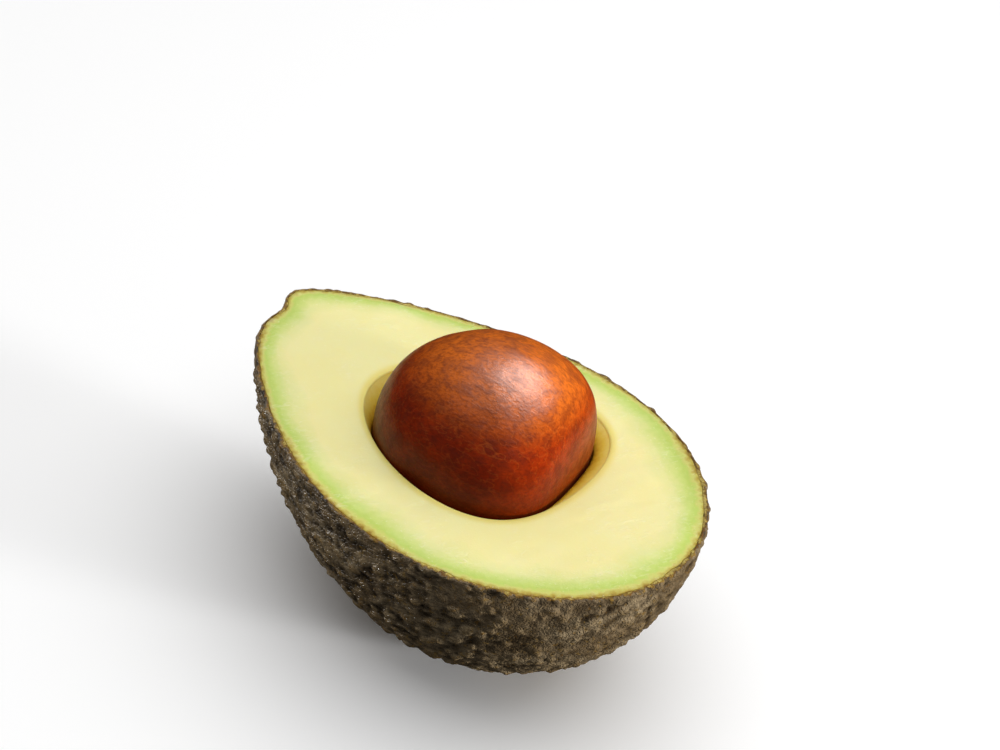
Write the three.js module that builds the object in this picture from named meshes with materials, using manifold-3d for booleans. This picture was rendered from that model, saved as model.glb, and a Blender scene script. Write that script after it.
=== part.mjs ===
// Half of a ripe avocado, cut lengthwise, with its seed still in the flesh.
// It lies on its back with the cut face level and facing up (+Z), in millimetres.
// The stem end is at -X and the broad end at +X; Z is 0 on the small flat spot that it rests on.
import * as THREE from "three";
import { mergeVertices } from "three/addons/utils/BufferGeometryUtils.js";
import Module from "manifold-3d";

// The whole fruit, over its skin
const LENGTH = 100; // stem end to broad end
const WIDTH = 70; // across the widest part of the cut face
const DEPTH = 39; // cut face to the back, before the resting spot is taken off
const TAPER = 0.24; // gain in girth towards the broad end
const NECK = 0.141; // loss of girth towards both ends
const LEAN = -7.2; // sideways place of the stem end, off the long axis
const REST_CUT = 1.3; // depth of the flat spot on the back

// The layers
const SKIN = 1.2; // thickness of the skin
const GAP = 0.3; // clearance between pieces that touch
const STEM_FLAT = 3.3; // depth of the flattened place where the stem was
const STEM_FLAT_REACH = 0.245; // its reach, as a share of the half length
const STEM_FLAT_TURN = THREE.MathUtils.degToRad(14.3); // its place, off the tip

// The pebbles of the skin, raised a little more than life
const PEBBLES = 820; // on the whole fruit, of which the half keeps its share
const PEBBLE_RADIUS = 2.8;
const PEBBLE_STRETCH = 1.25; // along the fruit
const PEBBLE_HEIGHT = 1.3;
const PEBBLE_SINK = 0.6; // how far the grooves between them lie under the smooth surface
const PEBBLE_SPREAD = 0.35; // random share of the height
const PEBBLE_JITTER = 0.028; // random shift, as a share of the half length
const PEBBLE_SEED = 7;
const RANDOM_FACTOR = 16807; // of the stream of random numbers
const RANDOM_RANGE = 2147483647;

// The seed, half of which stands out of the cut face
const SEED = {
  centre: new THREE.Vector3(6.5, 0, 0), // from the middle of the cut face
  radii: new THREE.Vector3(22.6, 18.9, 20.7),
  turn: THREE.MathUtils.degToRad(24), // its long axis, against the fruit's
  flattening: 0.3, // of its base, which faces the broad end
  widening: 0, // gain in girth towards the base
};

// The hollow that it lies in, which has more room at the base
const HOLLOW = {
  centre: new THREE.Vector3(4.2, 0.3, 0),
  radii: new THREE.Vector3(24.5, 20.9, 22.2),
  turn: THREE.MathUtils.degToRad(16.6),
  flattening: 0.18,
  widening: 0.157,
};

// How finely each surface is divided: triangles along one edge of an eighth of a sphere
const FINE = 48;
const PLAIN = 18;
const SEED_FINE = 14;
const WIDTH_STEPS = 400; // in the search for the widest section
const ON_CUT = 1e-6; // a point of the unit sphere this near the cut lies on it

const SKIN_LOOK = { color: 0x3a3226, roughness: 0.5 };
const FLESH_LOOK = { color: 0xe9e6a4, roughness: 0.45 };
const SEED_LOOK = { color: 0x8a4321, roughness: 0.35 };

const UPWARDS = new THREE.Vector3(0, 0, 1);
const STEM = new THREE.Vector3(-1, 0, 0).applyAxisAngle(UPWARDS, STEM_FLAT_TURN);

const solids = await Module();
solids.setup();

// Girth of the fruit at a place along it, from -1 at the stem end to 1 at the broad end
function girth(along) {
  return 1 + TAPER * along - NECK * along * along;
}

function girthSlope(along) {
  return TAPER - 2 * NECK * along;
}

// The largest value that the section's radius takes, by which the width is scaled
function widestSection() {
  let widest = 0;
  for (let i = 0; i <= WIDTH_STEPS; i += 1) {
    const along = (2 * i) / WIDTH_STEPS - 1;
    widest = Math.max(widest, girth(along) * Math.sqrt(1 - along * along));
  }
  return widest;
}

const HALF_LENGTH = LENGTH / 2;
const WIDEST = widestSection();
const SIDE_RADIUS = WIDTH / 2 / WIDEST;
const BACK_RADIUS = DEPTH / WIDEST;
const REST_Z = -(DEPTH - REST_CUT);

function lean(along) {
  return LEAN * ((1 - along) / 2) ** 2;
}

function leanSlope(along) {
  return (-LEAN * (1 - along)) / 2;
}

// The fruit's smooth surface, from a point of the unit sphere
function fruitPoint(unit) {
  const size = girth(unit.x);
  return new THREE.Vector3(
    HALF_LENGTH * unit.x,
    lean(unit.x) + SIDE_RADIUS * size * unit.y,
    BACK_RADIUS * size * unit.z,
  );
}

// The direction straight out of that surface; it stays level all round the cut edge
function fruitNormal(unit) {
  const size = girth(unit.x);
  const round = unit.y * unit.y + unit.z * unit.z;
  const fall = (girthSlope(unit.x) / size) * round;
  const sway = (leanSlope(unit.x) / (SIDE_RADIUS * size)) * unit.y;
  return new THREE.Vector3(
    (unit.x - fall - sway) / HALF_LENGTH,
    unit.y / (SIDE_RADIUS * size),
    unit.z / (BACK_RADIUS * size),
  ).normalize();
}

// A repeatable stream of random numbers from 0 to 1
function randomStream(start) {
  let state = start;
  return () => {
    state = (state * RANDOM_FACTOR) % RANDOM_RANGE;
    return state / RANDOM_RANGE;
  };
}

// Places of the pebbles: an even spiral over the fruit, each one shifted a little
function pebblePlaces() {
  const random = randomStream(PEBBLE_SEED);
  const turn = Math.PI * (3 - Math.sqrt(5));
  const places = [];
  for (let i = 0; i < PEBBLES; i += 1) {
    const along = 1 - (2 * i + 1) / PEBBLES;
    const round = Math.sqrt(1 - along * along);
    const unit = new THREE.Vector3(along, round * Math.cos(turn * i), round * Math.sin(turn * i));
    unit.x += PEBBLE_JITTER * (2 * random() - 1);
    unit.y += PEBBLE_JITTER * (2 * random() - 1);
    unit.z += PEBBLE_JITTER * (2 * random() - 1);
    const height = PEBBLE_HEIGHT * (1 - PEBBLE_SPREAD * random());
    places.push({ centre: fruitPoint(unit.normalize()), height });
  }
  return places;
}

const pebbles = pebblePlaces();

// Height of the pebbled relief over the grooves, at a point of the smooth surface
function relief(point) {
  let height = 0;
  for (const pebble of pebbles) {
    const across = Math.hypot(point.y - pebble.centre.y, point.z - pebble.centre.z);
    const distance = Math.hypot((point.x - pebble.centre.x) / PEBBLE_STRETCH, across);
    if (distance < PEBBLE_RADIUS) {
      const rise = 1 - (distance / PEBBLE_RADIUS) ** 2;
      height = Math.max(height, pebble.height * rise);
    }
  }
  return height;
}

// How far the surface is drawn in round the stem's old place
function stemFlat(unit) {
  const away = unit.distanceTo(STEM) / STEM_FLAT_REACH;
  return STEM_FLAT * Math.exp(-away * away);
}

// A layer of the fruit: so deep under the skin's surface, and no lower than its own flat back
function layerPoint(unit, depth) {
  const point = fruitPoint(unit);
  const bumps = depth === 0 ? relief(point) - PEBBLE_SINK : 0;
  point.addScaledVector(fruitNormal(unit), bumps - stemFlat(unit) - depth);
  point.z = Math.max(point.z, REST_Z + depth);
  return point;
}

// The surface of the seed or the hollow, from a point of the unit sphere
function eggPoint(unit, egg) {
  const base = Math.max(unit.x, 0);
  const girthHere = 1 + egg.widening * unit.x;
  const point = new THREE.Vector3(unit.x - egg.flattening * base ** 3, girthHere * unit.y, girthHere * unit.z);
  return point.multiply(egg.radii).applyAxisAngle(UPWARDS, egg.turn).add(egg.centre);
}

function unitVertices(fineness) {
  return new THREE.OctahedronGeometry(1, fineness - 1).getAttribute("position");
}

function closedGeometry(positions) {
  const geometry = new THREE.BufferGeometry();
  geometry.setAttribute("position", new THREE.Float32BufferAttribute(positions, 3));
  return mergeVertices(geometry);
}

// A closed surface over the whole unit sphere
function wholeSurface(fineness, place) {
  const vertices = unitVertices(fineness);
  const unit = new THREE.Vector3();
  const positions = [];
  for (let i = 0; i < vertices.count; i += 1) {
    unit.fromBufferAttribute(vertices, i);
    positions.push(...place(unit).toArray());
  }
  return closedGeometry(positions);
}

// The lower half of such a surface, closed by a flat top at the cut
function halfSurface(fineness, place) {
  const vertices = unitVertices(fineness);
  const positions = [];
  for (let i = 0; i < vertices.count; i += 3) {
    const corners = [0, 1, 2].map((k) => new THREE.Vector3().fromBufferAttribute(vertices, i + k));
    const isLower = corners.every((corner) => corner.z < ON_CUT);
    if (isLower) {
      const placed = corners.map((corner) => place(corner));
      corners.forEach((corner, k) => {
        placed[k].z = Math.abs(corner.z) < ON_CUT ? 0 : placed[k].z;
      });
      placed.forEach((point) => positions.push(...point.toArray()));
      for (let k = 0; k < 3; k += 1) {
        const next = (k + 1) % 3;
        if (Math.abs(corners[k].z) < ON_CUT && Math.abs(corners[next].z) < ON_CUT) {
          positions.push(...placed[next].toArray(), ...placed[k].toArray(), 0, 0, 0);
        }
      }
    }
  }
  return closedGeometry(positions);
}

function toSolid(geometry) {
  const mesh = new solids.Mesh({
    numProp: 3,
    vertProperties: new Float32Array(geometry.getAttribute("position").array),
    triVerts: new Uint32Array(geometry.getIndex().array),
  });
  return new solids.Manifold(mesh);
}

function toGeometry(solid) {
  const mesh = solid.getMesh();
  const geometry = new THREE.BufferGeometry();
  geometry.setAttribute("position", new THREE.BufferAttribute(mesh.vertProperties, 3));
  geometry.setIndex(new THREE.BufferAttribute(mesh.triVerts, 1));
  return geometry;
}

function makeSkin() {
  const outside = toSolid(halfSurface(FINE, (unit) => layerPoint(unit, 0)));
  const inside = toSolid(wholeSurface(PLAIN, (unit) => layerPoint(unit, SKIN)));
  return toGeometry(outside.subtract(inside));
}

function makeFlesh() {
  const outside = toSolid(halfSurface(PLAIN, (unit) => layerPoint(unit, SKIN + GAP)));
  const hollow = toSolid(wholeSurface(SEED_FINE, (unit) => eggPoint(unit, HOLLOW)));
  return toGeometry(outside.subtract(hollow));
}

function makeSeed() {
  return wholeSurface(SEED_FINE, (unit) => eggPoint(unit, SEED));
}

function addPiece(group, name, geometry, look) {
  const material = new THREE.MeshStandardMaterial({ ...look, metalness: 0 });
  const mesh = new THREE.Mesh(geometry, material);
  mesh.name = name;
  group.add(mesh);
  return mesh;
}

const group = new THREE.Group();
const skin = addPiece(group, "skin", makeSkin(), SKIN_LOOK);
addPiece(group, "flesh", makeFlesh(), FLESH_LOOK);
addPiece(group, "seed", makeSeed(), SEED_LOOK);

// The origin is under the middle of the fruit, on the surface that it rests on
skin.geometry.computeBoundingBox();
const box = skin.geometry.boundingBox;
group.position.set(-(box.min.x + box.max.x) / 2, -(box.min.y + box.max.y) / 2, -box.min.z);
group.updateMatrixWorld(true);

export default group;
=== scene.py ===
"""Looks of the halved avocado: fine pebbled skin, moist flesh and a veined seed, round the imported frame.

Meshes are worked out in millimetres from the middle of the cut face, and placed by the frame.
"""
import collections
import itertools
import math

import bpy
import numpy as np
from mathutils import Matrix, Vector


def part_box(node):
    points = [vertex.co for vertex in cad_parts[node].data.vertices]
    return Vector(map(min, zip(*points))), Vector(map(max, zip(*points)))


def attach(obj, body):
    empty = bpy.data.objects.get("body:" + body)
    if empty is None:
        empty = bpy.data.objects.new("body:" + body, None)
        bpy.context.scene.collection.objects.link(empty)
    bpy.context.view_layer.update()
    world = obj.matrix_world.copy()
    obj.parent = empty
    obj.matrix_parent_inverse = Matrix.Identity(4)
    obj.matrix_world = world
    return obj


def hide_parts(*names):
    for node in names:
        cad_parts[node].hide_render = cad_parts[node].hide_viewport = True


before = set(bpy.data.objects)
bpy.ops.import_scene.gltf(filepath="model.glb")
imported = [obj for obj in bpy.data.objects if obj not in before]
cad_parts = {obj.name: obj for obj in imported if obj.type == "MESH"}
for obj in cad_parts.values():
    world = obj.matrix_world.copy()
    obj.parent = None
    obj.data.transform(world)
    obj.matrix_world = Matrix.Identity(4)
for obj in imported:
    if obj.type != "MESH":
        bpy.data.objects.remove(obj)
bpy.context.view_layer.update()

MM = 0.001

# The whole fruit, as in the frame's own formulas
HALF_LENGTH = 50
WIDTH = 70
DEPTH = 39
TAPER = 0.24
NECK = 0.141
LEAN = -7.2
REST_CUT = 1.3
STEM_FLAT = 3.3
STEM_FLAT_REACH = 0.245
STEM_FLAT_TURN = math.radians(14.3)
STEM = np.array((-math.cos(STEM_FLAT_TURN), -math.sin(STEM_FLAT_TURN), 0))
STEM_ACROSS = np.array((math.sin(STEM_FLAT_TURN), -math.cos(STEM_FLAT_TURN), 0))
FLESH_DEPTH = 1.5
WIDTH_STEPS = 400  # in the search for the widest section

# The seed and its hollow, as in the frame's own formulas: an ellipsoid, turned about the vertical,
# with its base flattened and its girth growing towards that base
Egg = collections.namedtuple("Egg", "centre radii turn flattening widening")
SEED = Egg(
    centre=np.array((6.5, 0, 0)),
    radii=np.array((22.6, 18.9, 20.7)),
    turn=math.radians(24),
    flattening=0.3,
    widening=0,
)
HOLLOW = Egg(
    centre=np.array((4.2, 0.3, 0)),
    radii=np.array((24.5, 20.9, 22.2)),
    turn=math.radians(16.6),
    flattening=0.18,
    widening=0.157,
)

# The low lumps of the seed
SEED_LUMPS = 0.25
SEED_LUMP_SIZE = 9
FINE_LUMP_SIZE = 3.5
FINE_LUMP_SHARE = 0.3

# The hollow's wall, which closes on the seed below and flares out to its lip above
SEED_GAP = 0.35
LIP_ROUND = 0.45
LIP_STEPS = 4
LIP_WALL = 0.15  # how far the colour of the wall has begun at the foot of the lip
WALL_TOP = 3.5  # height of the flared stretch
WALL_TOP_RINGS = 22
WALL_TOP_CROWDING = 1.5  # of its rings towards the lip
FLARE_DEPTH = 0.35
FLARE_SLOPE = (1.2, 0.3)  # at the seed's narrow end and at its base

# The skin's relief, in heights over the smooth surface
KNOB_SPACING = 2.3
KNOB_RADIUS = (0.3, 0.6)  # least and most, as shares of the spacing
KNOB_HEIGHT = (0.35, 0.7)
KNOB_STRETCH = 1.3
KNOB_CREASE = 4  # the higher, the sharper the crease where two knobs meet
KNOB_DRAWS = 5  # random numbers for each knob: three for its place, one each for its radius and height
KNOBS_LOST_BROAD = 0.2  # share that the broad end takes off them
KNOBS_LOST_STEM = 0.6
FOLD_SIZE = 1.9
FINE_FOLD_SIZE = FOLD_SIZE / 2.2
FINE_FOLD_SHARE = 0.35
FOLD_HEIGHT = 0.4
FOLD_STRETCH = 1.8
FOLDS_LOST_BROAD = 0.5
WARP_SIZE = 4.5
WARP_REACH = 1.0
STREAKS_ROUND = 6.5
STREAKS_ALONG = 4
STREAK_HEIGHT = 0.5
BROAD_STREAKS = 0.45  # share of that height
STEM_STREAKS = 0.5
STREAK_BEND_SIZE = 4
STREAK_BEND = 0.02  # in unit radii
BROAD_END = (0.35, 0.95)  # where along the fruit it starts, and where it is full
STEM_END = (0.55, 0.3)  # the same, in unit radii from the stem's old place
SCAR_REACH = 0.06
SCAR_SOFT_REACH = SCAR_REACH * 1.3
SCAR_COLOUR_REACH = SCAR_REACH * 1.4
SCAR_DEPTH = 0.05
RELIEF_SINK = 0.42
TINY = 1e-9  # gives a point on the axis some direction

# The cut edge of the skin
PEEL = 0.85
PEEL_SPREAD = 0.35
PEEL_SPREAD_SIZE = 6
FINE_PEEL_SPREAD_SIZE = 1.7
EDGE_ROUND = 0.3
EDGE_CORNER = ((0.1, 1), (0.3, 0.35), (0.7, 0.1), (1.2, 0))  # depth and drop, as shares of EDGE_ROUND
EDGE_SWELL = 0.03
EDGE_INNER_ROUND = 0.12
EDGE_TUCK = 0.05  # how far its last ring reaches in behind the flesh's edge
EDGE_TUCK_DROP = 0.6
INNER_DEPTH = 1.3
INNER_TOP = -0.04  # height on the unit sphere at which the skin's inside ends, below the rim

# The flesh: its back and its cut face
FLESH_BACK_GAP = 0.1
FLESH_BACK_TOP = -0.05  # height on the unit sphere at which the back ends
FLESH_START_GAP = 0.03
FLESH_EDGE = ((0.5, 0.0), (0.15, 0.0), (0.05, 0.04), (0.01, 0.12))  # drop, and distance from its start
FACE_WAVE = 0.14
FACE_WAVE_SIZE = 14
KNIFE_TURN = math.radians(80)  # of the marks that the knife left, from the long axis
KNIFE_SIZE = 1.6
KNIFE_STRETCH = 4
KNIFE_SHARE = 0.2
CALM_RIM = (0.9, 4)  # distances from the rim between which the waves set in
CALM_LIP = (0, 2)
FAR = 20  # a distance at which the rim or the lip has no effect

# How finely each surface is divided: rings from a pole to the rim, each with four points more
SKIN_RINGS = 200
INSIDE_RINGS = 40
HOLLOW_RINGS = 50
SEED_RINGS = 118
FACE_AROUND = 480  # points of each ring of the cut face
FACE_RINGS = 46

# What each random pattern starts from
WARP_START = 11  # with the two numbers after it
KNOB_START = 21
BEND_START = 31
BROAD_STREAK_START = 32
STEM_STREAK_START = 33
FOLD_START = 41
FINE_FOLD_START = 42
PEEL_START = 51
FINE_PEEL_START = 52
FACE_START = 61
KNIFE_START = 62
LUMP_START = 71
FINE_LUMP_START = 72

# Cells along each side of the tables of random values, after which the patterns repeat
NOISE_CELLS = 48
KNOB_CELLS = 40

# The studio
LIGHT_DISTANCE = 0.8  # in metres
FLOOR_REACH = 3.0  # in metres
WORLD_LIGHT = 0.25  # strength

# The camera, fitted to the photograph
CAMERA_AZIMUTH = math.radians(45.24)
CAMERA_ELEVATION = math.radians(35.46)
CAMERA_ROLL = math.radians(10.98)
CAMERA_DISTANCE = 433.3
CAMERA_SIDE_STEP = 4.96
CAMERA_UP_STEP = 8.92
LENS = 86.4
SENSOR = 36


def girth(along):
    return 1 + TAPER * along - NECK * along**2


def widest_section():
    along = np.linspace(-1, 1, WIDTH_STEPS + 1)
    return (girth(along) * np.sqrt(1 - along**2)).max()


SIDE_RADIUS = WIDTH / 2 / widest_section()
BACK_RADIUS = DEPTH / widest_section()
REST_Z = -(DEPTH - REST_CUT)


def normalised(vectors):
    return vectors / np.linalg.norm(vectors, axis=1, keepdims=True)


def between(limits, share):
    return limits[0] + (limits[1] - limits[0]) * share


def fruit_point(unit):
    """The smooth fruit's surface, from points of the unit sphere."""
    along = unit[:, 0]
    lean = LEAN * ((1 - along) / 2) ** 2
    side = lean + SIDE_RADIUS * girth(along) * unit[:, 1]
    return np.column_stack((HALF_LENGTH * along, side, BACK_RADIUS * girth(along) * unit[:, 2]))


def fruit_normal(unit):
    """The direction straight out of that surface, which is level all round the cut edge."""
    along = unit[:, 0]
    size = girth(along)
    fall = (TAPER - 2 * NECK * along) / size * (1 - along**2)
    sway = -LEAN * (1 - along) / 2 / (SIDE_RADIUS * size) * unit[:, 1]
    lengthwise = (along - fall - sway) / HALF_LENGTH
    return normalised(
        np.column_stack((lengthwise, unit[:, 1] / (SIDE_RADIUS * size), unit[:, 2] / (BACK_RADIUS * size)))
    )


def from_stem(unit):
    """Distance from the stem's old place, in unit radii."""
    return np.linalg.norm(unit - STEM, axis=1)


def layer_point(unit, depth, rise=0):
    """A layer of the fruit: so deep under the skin's surface, and no lower than its own flat back."""
    flat = STEM_FLAT * np.exp(-((from_stem(unit) / STEM_FLAT_REACH) ** 2))
    outwards = np.asarray(rise - flat - depth).reshape(-1, 1)
    point = fruit_point(unit) + fruit_normal(unit) * outwards
    point[:, 2] = np.maximum(point[:, 2], REST_Z + np.min(depth))
    return point


def noise(points, size, start):
    """Smooth random values from -1 to 1, which change over about so many millimetres."""
    cells = NOISE_CELLS
    table = np.random.default_rng(start).uniform(-1, 1, (cells, cells, cells))
    cell = np.floor(points / size).astype(int)
    part = points / size - cell
    part = part * part * (3 - 2 * part)
    total = np.zeros(len(points))
    for corner in itertools.product((0, 1), repeat=3):
        weight = np.prod(np.where(corner, part, 1 - part), axis=1)
        place = (cell + corner) % cells
        total += weight * table[place[:, 0], place[:, 1], place[:, 2]]
    return total


def warped(points, start):
    """The same points, each moved a little by noise, so that no pattern runs straight."""
    shifts = [noise(points, WARP_SIZE, start + axis) for axis in range(3)]
    return points + WARP_REACH * np.column_stack(shifts)


def knobs(points, start):
    """Round knobs of many sizes, at random places in space, that run together where they meet."""
    cells = KNOB_CELLS
    random = np.random.default_rng(start).random((cells, cells, cells, KNOB_DRAWS))
    scaled = points / KNOB_SPACING
    cell = np.floor(scaled).astype(int)
    total = np.zeros(len(points))
    for step in itertools.product((-1, 0, 1), repeat=3):
        place = (cell + step) % cells
        draw = random[place[:, 0], place[:, 1], place[:, 2]]
        centre = cell + step + draw[:, :3]
        radius = between(KNOB_RADIUS, draw[:, 3])
        height = between(KNOB_HEIGHT, draw[:, 4])
        away = np.linalg.norm(scaled - centre, axis=1) / radius
        total += (height * np.clip(1 - away**2, 0, 1)) ** KNOB_CREASE
    return total ** (1 / KNOB_CREASE)


def fade(value, start, end):
    """0 before start and 1 after end, with a soft change between."""
    part = np.clip((value - start) / (end - start), 0, 1)
    return part * part * (3 - 2 * part)


def streaks(across, upwards, along, start):
    """Wavy ridges that run out from an end of the fruit like rays."""
    around_end = normalised(np.column_stack((across, upwards)) + TINY)
    rays = np.column_stack((around_end * STREAKS_ROUND, along * STREAKS_ALONG))
    return (1 - np.abs(noise(rays, 1, start))) ** 2


def all_streaks(unit, point, stem, broad_end, stem_end):
    """The streaks of both ends of the fruit."""
    bent = normalised(unit + STREAK_BEND * noise(point, STREAK_BEND_SIZE, BEND_START)[:, None])
    broad = streaks(bent[:, 1], bent[:, 2], bent[:, 0], BROAD_STREAK_START)
    narrow = streaks(bent @ STEM_ACROSS, bent[:, 2], stem, STEM_STREAK_START)
    return STREAK_HEIGHT * (BROAD_STREAKS * broad_end * broad + STEM_STREAKS * stem_end * narrow)


def all_folds(point, broad_end):
    """The long folds between the knobs, with finer ones among them."""
    lengthened = point / (FOLD_STRETCH, 1, 1)
    folds = 1 - np.abs(noise(lengthened, FOLD_SIZE, FOLD_START))
    fine_folds = 1 - np.abs(noise(lengthened, FINE_FOLD_SIZE, FINE_FOLD_START))
    mixed = (1 - FINE_FOLD_SHARE) * folds**2 + FINE_FOLD_SHARE * fine_folds**2
    return FOLD_HEIGHT * mixed * (1 - FOLDS_LOST_BROAD * broad_end)


def relief(unit):
    """Height of the skin's relief over the smooth surface, and the part of it that is knobs."""
    point = warped(fruit_point(unit), WARP_START)
    stem = from_stem(unit)
    broad_end = fade(unit[:, 0], *BROAD_END)
    stem_end = fade(-stem, -STEM_END[0], -STEM_END[1])
    knob = knobs(point / (KNOB_STRETCH, 1, 1), KNOB_START)
    knob *= (1 - KNOBS_LOST_BROAD * broad_end) * (1 - KNOBS_LOST_STEM * stem_end)
    rays = all_streaks(unit, point, stem, broad_end, stem_end)
    scar = SCAR_DEPTH * fade(-stem, -SCAR_SOFT_REACH, -SCAR_REACH)
    return knob + all_folds(point, broad_end) + rays - scar - RELIEF_SINK, knob


def egg_point(unit, egg, room=0.0):
    """The surface of the seed or the hollow, from points of the unit sphere, with room added outwards."""
    base = np.maximum(unit[:, 0], 0)
    size = 1 + egg.widening * unit[:, 0]
    shaped = np.column_stack((unit[:, 0] - egg.flattening * base**3, size * unit[:, 1], size * unit[:, 2]))
    x, y, z = ((egg.radii + room) * shaped).T
    cos, sin = math.cos(egg.turn), math.sin(egg.turn)
    return np.column_stack((x * cos - y * sin, x * sin + y * cos, z)) + egg.centre


def around(count):
    """Angles of a full turn, evenly spaced."""
    return 2 * math.pi * np.arange(count) / count


def circle(count, height=0.0):
    """Points of the unit sphere at one height, evenly spaced around."""
    angle = around(count)
    size = math.sqrt(max(1 - height * height, 0))
    return np.column_stack((size * np.cos(angle), size * np.sin(angle), np.full(count, height)))


def bowl_rings(rings, top=0.0):
    """Rings of the unit sphere from its lowest point up to a height, with points that share its area."""
    heights = [-1 + (1 + top) * (k / rings) ** 2 for k in range(rings + 1)]
    return [circle(max(4 * k, 1), height) for k, height in enumerate(heights)]


def faces_between(lower, upper, lower_start, upper_start):
    """Triangles that join two closed rings, whatever their counts of points."""
    lower_steps = (np.arange(lower) + 0.5) / lower
    upper_steps = (np.arange(upper) + 0.5) / upper
    upper_at = upper_start + np.searchsorted(upper_steps, lower_steps, side="left") % upper
    lower_at = lower_start + np.searchsorted(lower_steps, upper_steps, side="right") % lower
    i, j = np.arange(lower), np.arange(upper)
    on_lower = np.column_stack((lower_start + i, lower_start + (i + 1) % lower, upper_at))
    on_upper = np.column_stack((upper_start + (j + 1) % upper, upper_start + j, lower_at))
    return [faces for faces, count in ((on_lower, lower), (on_upper, upper)) if count > 1]


def find_middle():
    """The middle of the cut face in the frame, from the flesh's own outline."""
    low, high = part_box("flesh")
    outline = layer_point(circle(FACE_AROUND), FLESH_DEPTH)
    centre = (outline.min(axis=0) + outline.max(axis=0)) / 2
    middle = (low + high) / 2 / MM
    return np.array((middle.x - centre[0], middle.y - centre[1], high.z / MM))


MIDDLE = find_middle()


def make_piece(name, rings, values, material):
    """A closed mesh from a stack of rings, with a named value for each column after x, y and z."""
    faces = []
    start = 0
    for ring, following in zip(rings, rings[1:]):
        faces += faces_between(len(ring), len(following), start, start + len(ring))
        start += len(ring)
    points = np.vstack(rings)
    corners = np.vstack(faces)
    mesh = bpy.data.meshes.new(name)
    mesh.from_pydata(((points[:, :3] + MIDDLE) * MM).tolist(), [], corners.tolist())
    mesh.polygons.foreach_set("use_smooth", np.ones(len(corners), bool))
    for column, value in enumerate(values, start=3):
        layer = mesh.attributes.new(value, "FLOAT", "POINT")
        layer.data.foreach_set("value", points[:, column].astype(np.float32))
    mesh.materials.append(material)
    piece = bpy.data.objects.new(name, mesh)
    bpy.context.scene.collection.objects.link(piece)
    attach(piece, "root")
    return piece


def peel_depth(unit):
    """Thickness of the skin where it is cut, which wanders round the rim."""
    point = fruit_point(unit)
    wander = noise(point, PEEL_SPREAD_SIZE, PEEL_START)
    fine_wander = noise(point, FINE_PEEL_SPREAD_SIZE, FINE_PEEL_START)
    return PEEL + PEEL_SPREAD * wander + PEEL_SPREAD * fine_wander / 2


def skin_ring(unit, depth, lower=0.0):
    """One ring of the skin: its points, rise, part that is knob, depth and distance from the stem."""
    rise, knob = relief(unit)
    depth = np.broadcast_to(depth, len(unit))
    point = layer_point(unit, depth, rise * np.clip(1 - depth / PEEL, 0, 1))
    point[:, 2] -= lower
    return np.column_stack((point, rise, knob, depth, from_stem(unit)))


def cut_edge():
    """The cut edge of the skin, in rings from its rounded corner to where it is tucked in."""
    rim = circle(4 * SKIN_RINGS)
    peel = peel_depth(rim)
    corner = [skin_ring(rim, EDGE_ROUND * depth, EDGE_ROUND * drop) for depth, drop in EDGE_CORNER]
    return corner + [
        skin_ring(rim, (peel + EDGE_ROUND) / 2, -EDGE_SWELL),
        skin_ring(rim, peel - EDGE_INNER_ROUND, 0),
        skin_ring(rim, peel, EDGE_INNER_ROUND),
        skin_ring(rim, peel + EDGE_TUCK, EDGE_TUCK_DROP),
    ]


def make_skin(material):
    top = -EDGE_ROUND * 2 / BACK_RADIUS  # where the outside gives way to the rounded corner
    outside = [skin_ring(ring, 0) for ring in bowl_rings(SKIN_RINGS, top)]
    inside = [skin_ring(ring, INNER_DEPTH) for ring in reversed(bowl_rings(INSIDE_RINGS, INNER_TOP))]
    skin = make_piece("peel", outside + cut_edge() + inside, ("rise", "knob", "depth", "stem"), material)
    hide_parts("skin")
    return skin


def face_wave(point):
    """Gentle unevenness that the knife leaves on the cut face."""
    cos, sin = math.cos(KNIFE_TURN), math.sin(KNIFE_TURN)
    along = point[:, 0] * cos + point[:, 1] * sin
    across = point[:, 1] * cos - point[:, 0] * sin
    marks = noise(np.column_stack((along / KNIFE_STRETCH, across, point[:, 2])), KNIFE_SIZE, KNIFE_START)
    return FACE_WAVE * (noise(point, FACE_WAVE_SIZE, FACE_START) + KNIFE_SHARE * marks)


def reach(outline, angles):
    """How far a closed outline lies from the seed's middle, in given directions."""
    away = outline[:, :2] - SEED.centre[:2]
    found = np.arctan2(away[:, 1], away[:, 0])
    order = np.argsort(found)
    return np.interp(angles, found[order], np.hypot(*away.T)[order], period=2 * math.pi)


def level_ring(angles, distance, height):
    """Points at one height and at given distances from the seed's middle."""
    away = np.column_stack((np.cos(angles), np.sin(angles))) * distance[:, None]
    return np.column_stack((away + SEED.centre[:2], np.full(len(angles), height)))


def lip_ring(spread, drop):
    """The mouth of the hollow, made wider by the spread and lower by the drop."""
    angles = around(FACE_AROUND)
    return level_ring(angles, reach(egg_point(circle(FACE_AROUND), HOLLOW, spread), angles), -drop)


def seed_reach(angles, height):
    """How far the seed's own section at a height lies from its middle, with the gap added."""
    section = egg_point(circle(FACE_AROUND, height / (SEED.radii[2] + SEED_GAP)), SEED, SEED_GAP)
    return reach(section, angles)


def flesh_ring(point, rim_distance, lip_distance, wall):
    """One ring of the flesh: its points, their distances from rim and lip, and their share of wall."""
    extra = [np.broadcast_to(value, len(point)) for value in (rim_distance, lip_distance, wall)]
    return np.column_stack([point, *extra])


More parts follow.
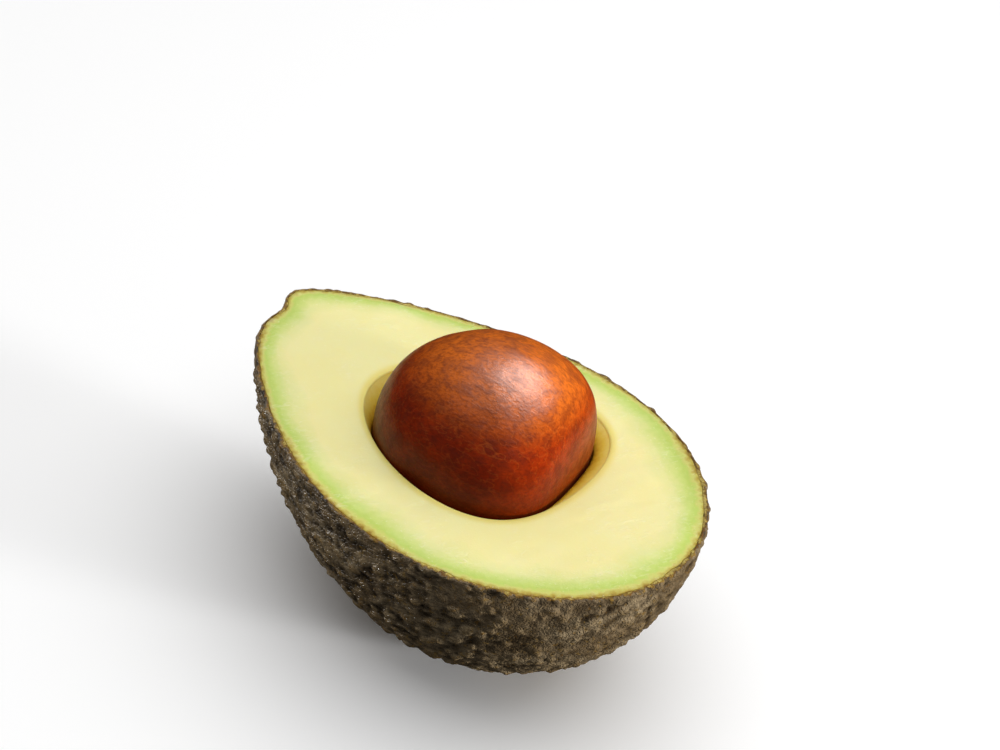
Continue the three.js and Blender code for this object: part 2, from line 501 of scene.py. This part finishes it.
def wall_ring(count, height):
    """The hollow's wall at one height."""
    angles = around(count)
    lip = reach(egg_point(circle(FACE_AROUND), HOLLOW), angles)
    flare = np.maximum(lip - seed_reach(angles, -LIP_ROUND), 0)
    base_side = 0.5 + 0.5 * np.cos(angles - SEED.turn)
    slope = between(FLARE_SLOPE, base_side)
    depth = -LIP_ROUND - height
    share = np.clip(1 - depth / (FLARE_DEPTH + slope * flare), 0, 1)
    point = level_ring(angles, seed_reach(angles, height) + flare * share, height)
    return flesh_ring(point, FAR, 0, 1 - (1 - LIP_WALL) * share)


def flesh_face():
    """The cut face, in rings from the skin to the lip of the hollow."""
    rim = circle(FACE_AROUND)
    peel = peel_depth(rim)
    surface = layer_point(rim, 0)
    start = layer_point(rim, peel + FLESH_START_GAP)
    end = lip_ring(LIP_ROUND, 0)
    width = np.linalg.norm(end - start, axis=1)
    rings = []
    for drop, inwards in FLESH_EDGE:
        point = start + (end - start) * (inwards / width)[:, None]
        point[:, 2] -= drop
        rings.append(flesh_ring(point, peel + inwards, width, 0))
    for k in range(1, FACE_RINGS + 1):
        even = k / FACE_RINGS
        crowded = 0.5 - 0.5 * math.cos(math.pi * even)
        point = start + (end - start) * (even + crowded) / 2
        from_rim = np.linalg.norm(point - surface, axis=1)
        from_lip = np.linalg.norm(point - end, axis=1)
        point[:, 2] += face_wave(point) * fade(from_rim, *CALM_RIM) * fade(from_lip, *CALM_LIP)
        rings.append(flesh_ring(point, from_rim, from_lip, 0))
    return rings


def flesh_lip():
    """The rounded edge between the cut face and the hollow's wall."""
    rings = []
    for step in range(1, LIP_STEPS):
        turn = math.pi / 2 * step / LIP_STEPS
        point = lip_ring(LIP_ROUND * (1 - math.sin(turn)), LIP_ROUND * (1 - math.cos(turn)))
        rings.append(flesh_ring(point, FAR, 0, LIP_WALL * step / LIP_STEPS))
    return rings


def hollow_wall():
    """The hollow's wall, in rings from the lip down to its lowest point."""
    rings = []
    for step in range(WALL_TOP_RINGS + 1):
        drop = WALL_TOP * (step / WALL_TOP_RINGS) ** WALL_TOP_CROWDING
        rings.append(wall_ring(FACE_AROUND, -LIP_ROUND - drop))
    below = -(LIP_ROUND + WALL_TOP) / (SEED.radii[2] + SEED_GAP)
    for ring in reversed(bowl_rings(HOLLOW_RINGS, below)[:-1]):
        point = egg_point(ring, SEED, SEED_GAP)
        if len(point) > 1:
            angles = around(len(point))
            point = level_ring(angles, reach(point, angles), point[0, 2])
        rings.append(flesh_ring(point, FAR, 0, 1))
    return rings


def make_flesh(material):
    outside = [
        flesh_ring(layer_point(ring, INNER_DEPTH + FLESH_BACK_GAP), INNER_DEPTH, FAR, 0)
        for ring in bowl_rings(INSIDE_RINGS, FLESH_BACK_TOP)
    ]
    rings = outside + flesh_face() + flesh_lip() + hollow_wall()
    flesh = make_piece("cut_flesh", rings, ("rim_distance", "lip_distance", "wall"), material)
    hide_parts("flesh")


def seed_ring(unit):
    """One ring of the seed: its points, and their height over the cut face."""
    point = egg_point(unit, SEED)
    outwards = normalised(point - SEED.centre)
    lumps = noise(point, SEED_LUMP_SIZE, LUMP_START)
    lumps += FINE_LUMP_SHARE * noise(point, FINE_LUMP_SIZE, FINE_LUMP_START)
    point += outwards * SEED_LUMPS * lumps[:, None]
    return np.column_stack((point, point[:, 2]))


def make_seed(material):
    lower = bowl_rings(SEED_RINGS)
    upper = [ring * (1, 1, -1) for ring in reversed(lower[:-1])]
    seed = make_piece("seed_in_hollow", [seed_ring(ring) for ring in lower + upper], ("height",), material)
    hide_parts("seed")
    return seed


class Shader:
    """Adds shader nodes. Each input takes a number, a colour, or another node's output."""

    def __init__(self, name):
        self.material = bpy.data.materials.new(name)
        self.material.use_nodes = True
        self.tree = self.material.node_tree
        self.tree.nodes.clear()
        self.places = self.node("ShaderNodeTexCoord").outputs["Object"]

    def node(self, kind, settings=None, inputs=None):
        node = self.tree.nodes.new(kind)
        for key, value in (settings or {}).items():
            setattr(node, key, value)
        for key, value in (inputs or {}).items():
            if isinstance(value, bpy.types.NodeSocket):
                self.tree.links.new(value, node.inputs[key])
            elif value is not None:
                node.inputs[key].default_value = value
        return node

    def value(self, name):
        return self.node("ShaderNodeAttribute", {"attribute_name": name}).outputs["Fac"]

    def math(self, operation, first, second=None):
        return self.node("ShaderNodeMath", {"operation": operation}, {0: first, 1: second}).outputs[0]

    def span(self, value, start, end, low=0.0, high=1.0, straight=False):
        """Low before start and high after end."""
        inputs = {"Value": value, "From Min": start, "From Max": end, "To Min": low, "To Max": high}
        kind = "LINEAR" if straight else "SMOOTHSTEP"
        return self.node("ShaderNodeMapRange", {"interpolation_type": kind}, inputs).outputs[0]

    def mix(self, share, first, second, blend="MIX"):
        """The first colour, with a share of the second. Sockets 6, 7 and 2 are those for colours."""
        settings = {"data_type": "RGBA", "blend_type": blend}
        return self.node("ShaderNodeMix", settings, {0: share, 6: first, 7: second}).outputs[2]

    def ramp(self, value, most, stops):
        """Colours at given values from 0 to the most, with even changes between."""
        share = self.span(value, 0.0, most, straight=True)
        node = self.node("ShaderNodeValToRGB", None, {"Fac": share})
        elements = node.color_ramp.elements
        while len(elements) < len(stops):
            elements.new(1.0)
        for element, (place, shade) in zip(elements, stops):
            element.position = place / most
            element.color = shade
        return node.outputs["Color"]

    def stretched(self, stretch, turn=0.0):
        """Places in millimetres, made shorter along the turned X axis so that patterns grow long there."""
        scale = (1 / MM / stretch, 1 / MM, 1 / MM)
        inputs = {"Vector": self.places, "Rotation": (0, 0, -turn)}
        turned = self.node("ShaderNodeMapping", None, inputs).outputs[0]
        return self.node("ShaderNodeMapping", None, {"Vector": turned, "Scale": scale}).outputs[0]

    def noise(self, size, detail=2.0, stretch=1.0, warp=0.0, turn=0.0):
        """Random values about 0.5 that change over so many millimetres."""
        inputs = {
            "Vector": self.stretched(stretch, turn),
            "Scale": 1 / size,
            "Detail": detail,
            "Distortion": warp,
        }
        return self.node("ShaderNodeTexNoise", None, inputs).outputs["Fac"]

    def cracks(self, size, stretch, warp):
        """Distance to the nearest edge of a net of random cells, as a share of their size."""
        vector = self.stretched(stretch)
        inputs = {"Vector": vector, "Scale": 1 / size, "Detail": 2.0}
        shift = self.node("ShaderNodeTexNoise", None, inputs)
        settings = {"operation": "MULTIPLY_ADD"}
        inputs = {0: shift.outputs["Color"], 1: (warp * size,) * 3, 2: vector}
        moved = self.node("ShaderNodeVectorMath", settings, inputs).outputs[0]
        inputs = {"Vector": moved, "Scale": 1 / size}
        cells = self.node("ShaderNodeTexVoronoi", {"feature": "DISTANCE_TO_EDGE"}, inputs)
        return cells.outputs["Distance"]

    def threads(self, size, thickness, stretch, warp, turn):
        """Thin meandering lines, where random values cross their middle."""
        values = self.noise(size, 4, stretch, warp, turn)
        return self.span(self.math("ABSOLUTE", self.math("SUBTRACT", values, 0.5)), thickness, 0.0)

    def bump(self, height, depth, below=None):
        """Raises the surface by height times depth, in millimetres."""
        inputs = {"Height": height, "Distance": depth * MM, "Strength": 1.0, "Normal": below}
        return self.node("ShaderNodeBump", None, inputs).outputs[0]

    def finish(self, **inputs):
        named = {key.replace("_", " "): value for key, value in inputs.items()}
        surface = self.node("ShaderNodeBsdfPrincipled", None, named).outputs[0]
        self.node("ShaderNodeOutputMaterial", None, {"Surface": surface})
        return self.material


def colour(red, green, blue):
    """A display colour, given in shares of 1, in the linear light that shaders use."""
    linear = [((c + 0.055) / 1.055) ** 2.4 if c > 0.04045 else c / 12.92 for c in (red, green, blue)]
    return (*linear, 1.0)


# Colours of the skin, and of its cut edge from the outside in
WAX = colour(0.45, 0.38, 0.28)
PALE_WAX = colour(0.56, 0.49, 0.38)
WAX_MOTTLE = colour(0.32, 0.25, 0.15)
WAX_GRAIN = colour(0.24, 0.17, 0.09)
# painted shade: the colour that the crevices between knobs and folds darken to
PAINTED_CREVICE_SHADE = colour(0.12, 0.08, 0.035)
KNOB = colour(0.38, 0.31, 0.2)
OCHRE_KNOB = colour(0.53, 0.39, 0.17)
# painted highlight: pale speckles that stand in for glints on the skin
PAINTED_SKIN_GLINT = colour(0.66, 0.58, 0.44)
SCAR = colour(0.52, 0.38, 0.24)
OUTER_EDGE = colour(0.52, 0.4, 0.15)
INNER_EDGE = colour(0.76, 0.68, 0.36)
EDGE_BLOTCH = colour(0.4, 0.26, 0.08)

# Colours of the flesh, at distances from the skin's surface
FACE_COLOURS = (
    (0.55, colour(0.6, 0.47, 0.16)),
    (1.1, colour(0.76, 0.69, 0.32)),
    (1.7, colour(0.83, 0.83, 0.47)),
    (2.5, colour(0.76, 0.84, 0.42)),
    (3.6, colour(0.81, 0.87, 0.5)),
    (6.0, colour(0.91, 0.91, 0.63)),
    (9.5, colour(0.96, 0.93, 0.67)),
)
FACE_COLOURS_REACH = 10.0
FACE_WARMTH = colour(1.0, 0.98, 0.91)
FIBRE = colour(0.99, 0.97, 0.82)
FLESH_SPECK = colour(1.0, 0.98, 0.86)
# a deeper yellow for the lip's band, darkened a little by painted shade
LIP_TINT_AND_SHADE = colour(0.93, 0.86, 0.46)

# Colours of the hollow's wall, from the lip at 0 to its foot at 1: a deeper yellow tint, with painted
# shade that darkens it to ochre brown towards the foot by the seed
WALL_TINT_AND_SHADE = (
    (0.0, colour(0.95, 0.89, 0.54)),
    (0.2, colour(0.95, 0.86, 0.45)),
    (0.5, colour(0.92, 0.79, 0.3)),
    (0.8, colour(0.84, 0.64, 0.15)),
    (1.0, colour(0.66, 0.45, 0.06)),
)

# Colours of the seed
SEED_COAT = colour(0.48, 0.11, 0.005)
PALE_SEED_COAT = colour(0.59, 0.17, 0.015)
# painted light: the paler orange given to the seed's top
PAINTED_LIGHT_SEED_TOP = colour(0.84, 0.42, 0.1)
SEED_MOTTLE = colour(0.33, 0.075, 0.005)
SEED_GRAIN = colour(0.33, 0.08, 0.005)
# painted shade: the near-black brown at the seed's foot, by the flesh
PAINTED_SHADE_SEED_FOOT = colour(0.23, 0.05, 0.0)
SEED_VEIN = colour(0.82, 0.42, 0.15)


def skin_outside(shader, rise, knob, fine):
    """The skin's colour: mottled wax, ochre knobs, painted shade that darkens the crevices, and pale
    speckles painted as glints.
    """
    patches = shader.noise(size=9, detail=3)
    mottle = shader.noise(size=1.3, detail=5, stretch=1.5, warp=0.4)
    wax = shader.mix(shader.span(patches, 0.35, 0.65), WAX, PALE_WAX)
    wax = shader.mix(shader.span(mottle, 0.4, 0.7, high=0.5), wax, WAX_MOTTLE)
    wax = shader.mix(shader.span(fine, 0.47, 0.65, high=0.25), wax, WAX_GRAIN)
    # painted shade: the wax darkens towards near black where the relief lies low
    wax_with_crevice_shade = shader.mix(shader.span(rise, -RELIEF_SINK, 0.0), PAINTED_CREVICE_SHADE, wax)
    ochre = shader.span(shader.noise(size=2.4), 0.55, 0.7)
    knob_colour = shader.mix(ochre, KNOB, OCHRE_KNOB)
    outside = shader.mix(shader.span(knob, 0.2, 0.5, high=0.6), wax_with_crevice_shade, knob_colour)
    # painted glints: tiny pale speckles mixed over the skin
    painted_glints = shader.span(shader.noise(size=0.4, detail=1), 0.66, 0.76, high=0.4)
    outside = shader.mix(painted_glints, outside, PAINTED_SKIN_GLINT)
    scar = shader.span(shader.value("stem"), SCAR_COLOUR_REACH, SCAR_REACH)
    return shader.mix(scar, outside, SCAR)


def skin_edge(shader, ragged):
    """The colour of the skin where it is cut: brown outside, tan inside, with dark blotches."""
    cut = shader.mix(shader.span(ragged, 0.45, 0.85), OUTER_EDGE, INNER_EDGE)
    blotch = shader.span(shader.noise(size=2.2, detail=4), 0.46, 0.62, high=0.85)
    return shader.mix(blotch, cut, EDGE_BLOTCH)


def skin_material():
    shader = Shader("pebbled_skin")
    knob = shader.value("knob")
    depth = shader.value("depth")
    fine = shader.noise(size=0.5, detail=4)
    grain = shader.noise(size=0.28, detail=3)
    wander = shader.span(shader.noise(size=0.9, detail=4), 0.3, 0.7, low=-0.3, high=0.3)
    ragged = shader.math("ADD", depth, wander)
    outside = skin_outside(shader, shader.value("rise"), knob, fine)
    base = shader.mix(shader.span(ragged, 0.16, 0.42), outside, skin_edge(shader, ragged))
    wrinkles = shader.span(shader.cracks(size=0.7, stretch=1.7, warp=0.9), 0.0, 0.3)
    normal = shader.bump(wrinkles, depth=0.16)
    normal = shader.bump(fine, depth=0.15, below=normal)
    normal = shader.bump(grain, depth=0.08, below=normal)
    glossy_knobs = shader.span(knob, 0.0, 0.3, low=0.34, high=0.2)
    dull_edge = shader.span(depth, 0.0, 0.15, high=0.8)
    uneven = shader.span(grain, 0.3, 0.7, low=-0.05, high=0.05)
    rough = shader.math("ADD", shader.math("MAXIMUM", glossy_knobs, dull_edge), uneven)
    return shader.finish(Base_Color=base, Roughness=rough, Normal=normal, Specular_IOR_Level=0.4)


def flesh_cut_face(shader, fibres, clouds):
    """The colour of the cut face: brown at the rim, then green, then cream, and a deeper yellow at the
    lip, partly painted shade.
    """
    width = shader.span(shader.noise(size=18), 0.3, 0.7, low=0.8, high=1.25)
    ragged = shader.span(shader.noise(size=1.1, detail=4), 0.25, 0.75, low=-0.35, high=0.35)
    inwards = shader.math("ADD", shader.math("MULTIPLY", shader.value("rim_distance"), width), ragged)
    face = shader.ramp(inwards, FACE_COLOURS_REACH, FACE_COLOURS)
    face = shader.mix(shader.span(clouds, 0.4, 0.65, high=0.35), face, FACE_WARMTH, "MULTIPLY")
    face = shader.mix(shader.math("MULTIPLY", fibres, 0.25), face, FIBRE)
    face = shader.mix(shader.span(shader.noise(size=0.5), 0.64, 0.76, high=0.25), face, FLESH_SPECK)
    # a deeper yellow band round the lip, partly painted shade
    near_lip = shader.span(shader.value("lip_distance"), 1.8, 0.0, high=0.85)
    return shader.mix(near_lip, face, LIP_TINT_AND_SHADE)


def flesh_material():
    shader = Shader("moist_flesh")
    wall = shader.value("wall")
    clouds = shader.noise(size=7, detail=3)
    fibres = shader.noise(size=0.9, detail=4, stretch=2.2, warp=1.2, turn=KNIFE_TURN)
    here = shader.span(shader.noise(size=8), 0.42, 0.62)
    fibres = shader.math("MULTIPLY", shader.span(fibres, 0.5, 0.72), here)
    wander = shader.span(shader.noise(size=1.1, detail=4), 0.3, 0.7, low=-0.06, high=0.06)
    # the wall's deeper yellow, with painted shade growing towards its foot
    inside = shader.ramp(shader.math("ADD", wall, wander), 1.0, WALL_TINT_AND_SHADE)
    base = shader.mix(shader.span(wall, 0.0, 0.12), flesh_cut_face(shader, fibres, clouds), inside)
    normal = shader.bump(fibres, depth=0.03)
    normal = shader.bump(shader.noise(size=0.35), depth=0.03, below=normal)
    return shader.finish(
        Base_Color=base,
        Roughness=shader.span(clouds, 0.3, 0.7, low=0.35, high=0.5),
        Normal=normal,
        Subsurface_Weight=0.5,
        Subsurface_Radius=(1.0, 0.8, 0.35),
        Subsurface_Scale=0.002,
        Specular_IOR_Level=0.2,
    )


def seed_veins(shader, height):
    """The share of vein at each place: a few wide ones among fine ones, stronger towards the top."""
    turn = SEED.turn
    wide_veins = shader.threads(size=6, thickness=0.012, stretch=2.4, warp=0.1, turn=turn)
    fine_veins = shader.threads(size=2.0, thickness=0.022, stretch=2.2, warp=0.1, turn=turn)
    here = shader.span(shader.noise(size=5, detail=3, turn=turn), 0.42, 0.6)
    wide_veins = shader.math("MULTIPLY", wide_veins, shader.math("MULTIPLY", here, 0.5))
    veins = shader.math("MAXIMUM", wide_veins, shader.math("MULTIPLY", fine_veins, 0.4))
    return shader.math("MULTIPLY", veins, shader.span(height, 2.0, 14.0, low=0.1, high=0.45))


def seed_material():
    shader = Shader("veined_seed")
    turn = SEED.turn
    height = shader.value("height")
    blots = shader.noise(size=6, detail=5, stretch=1.4, warp=0.3, turn=turn)
    mottle = shader.noise(size=1.8, detail=7, stretch=1.4, warp=0.3, turn=turn)
    fine = shader.noise(size=0.45, detail=3, stretch=1.8, turn=turn)
    veins = seed_veins(shader, height)
    base = shader.mix(shader.span(blots, 0.35, 0.65), SEED_COAT, PALE_SEED_COAT)
    # painted light: the seed turns paler orange towards its top
    base = shader.mix(shader.span(height, 10.0, 19.5, high=0.95), base, PAINTED_LIGHT_SEED_TOP)
    base = shader.mix(shader.span(mottle, 0.38, 0.65, high=0.45), base, SEED_MOTTLE)
    base = shader.mix(shader.span(fine, 0.42, 0.68, high=0.4), base, SEED_GRAIN)
    # painted shade: the seed darkens towards its foot, where it meets the hollow
    base = shader.mix(shader.span(height, 12.0, 0.0, high=0.6), base, PAINTED_SHADE_SEED_FOOT)
    base = shader.mix(veins, base, SEED_VEIN)
    normal = shader.bump(veins, depth=0.03)
    normal = shader.bump(mottle, depth=0.06, below=normal)
    normal = shader.bump(fine, depth=0.05, below=normal)
    rough = shader.span(mottle, 0.3, 0.7, low=0.3, high=0.4)
    return shader.finish(Base_Color=base, Roughness=rough, Normal=normal, Specular_IOR_Level=0.16)


def floor_material():
    return Shader("pale_floor").finish(Base_Color=colour(1.0, 1.0, 1.0), Roughness=0.9)


def make_floor():
    mesh = bpy.data.meshes.new("floor")
    corners = [(FLOOR_REACH * x, FLOOR_REACH * y, 0) for x, y in ((-1, -1), (1, -1), (1, 1), (-1, 1))]
    mesh.from_pydata(corners, [], [(0, 1, 2, 3)])
    mesh.materials.append(floor_material())
    floor = bpy.data.objects.new("floor", mesh)
    bpy.context.scene.collection.objects.link(floor)
    floor.visible_glossy = False
    floor.visible_diffuse = False


def make_light(name, direction, size, power, shine=True, glow=True, only=None):
    """A square soft light that shines at the middle of the cut face.

    Shine and glow say whether it shows in glossy and in dull reflections. It lights one piece only
    where that is given.
    """
    light = bpy.data.lights.new(name, "AREA")
    light.size = size
    light.energy = power
    lamp = bpy.data.objects.new(name, light)
    target = Vector(MIDDLE) * MM
    lamp.location = target + Vector(direction).normalized() * LIGHT_DISTANCE
    lamp.rotation_euler = (target - lamp.location).to_track_quat("-Z", "Y").to_euler()
    lamp.visible_glossy = shine
    lamp.visible_diffuse = glow
    if only:
        lit = bpy.data.collections.new(f"lit_by_{name}")
        lit.objects.link(only)
        lamp.light_linking.receiver_collection = lit
    bpy.context.scene.collection.objects.link(lamp)


def make_lights(peel, seed):
    make_light("highlight", direction=(0.04, 0.24, 0.95), size=0.65, power=40.0, glow=False, only=seed)
    make_light("above", direction=(-0.05, 0.15, 0.95), size=1.4, power=8.8)
    make_light("right", direction=(0.8, 0.5, 0.05), size=0.12, power=9.5, shine=False)
    make_light("left", direction=(-0.85, -0.5, 0.1), size=0.12, power=3.6, only=peel)


def make_world():
    world = bpy.data.worlds.new("studio")
    world.use_nodes = True
    background = world.node_tree.nodes["Background"]
    background.inputs["Color"].default_value = (1, 1, 1, 1)
    background.inputs["Strength"].default_value = WORLD_LIGHT
    world.cycles_visibility.glossy = False
    bpy.context.scene.world = world


def make_camera():
    camera = bpy.data.cameras.new("camera")
    camera.lens = LENS
    camera.sensor_width = SENSOR
    azimuth, elevation, roll = CAMERA_AZIMUTH, CAMERA_ELEVATION, CAMERA_ROLL
    level = math.cos(elevation)
    back = Vector((math.sin(azimuth) * level, -math.cos(azimuth) * level, math.sin(elevation)))
    side = Vector((math.cos(azimuth), math.sin(azimuth), 0))
    upwards = back.cross(side)
    rolled_side = math.cos(roll) * side + math.sin(roll) * upwards
    rolled_up = math.cos(roll) * upwards - math.sin(roll) * side
    steps = CAMERA_DISTANCE * back + CAMERA_SIDE_STEP * rolled_side + CAMERA_UP_STEP * rolled_up
    place = Vector(MIDDLE) + steps
    holder = bpy.data.objects.new("camera", camera)
    axes = Matrix((rolled_side, rolled_up, back)).transposed().to_4x4()
    holder.matrix_world = Matrix.Translation(place * MM) @ axes
    bpy.context.scene.collection.objects.link(holder)
    bpy.context.scene.camera = holder


make_camera()
make_floor()
peel = make_skin(skin_material())
make_flesh(flesh_material())
seed = make_seed(seed_material())
make_lights(peel, seed)
make_world()
bpy.context.scene.view_settings.view_transform = "Standard"
bpy.context.view_layer.update()
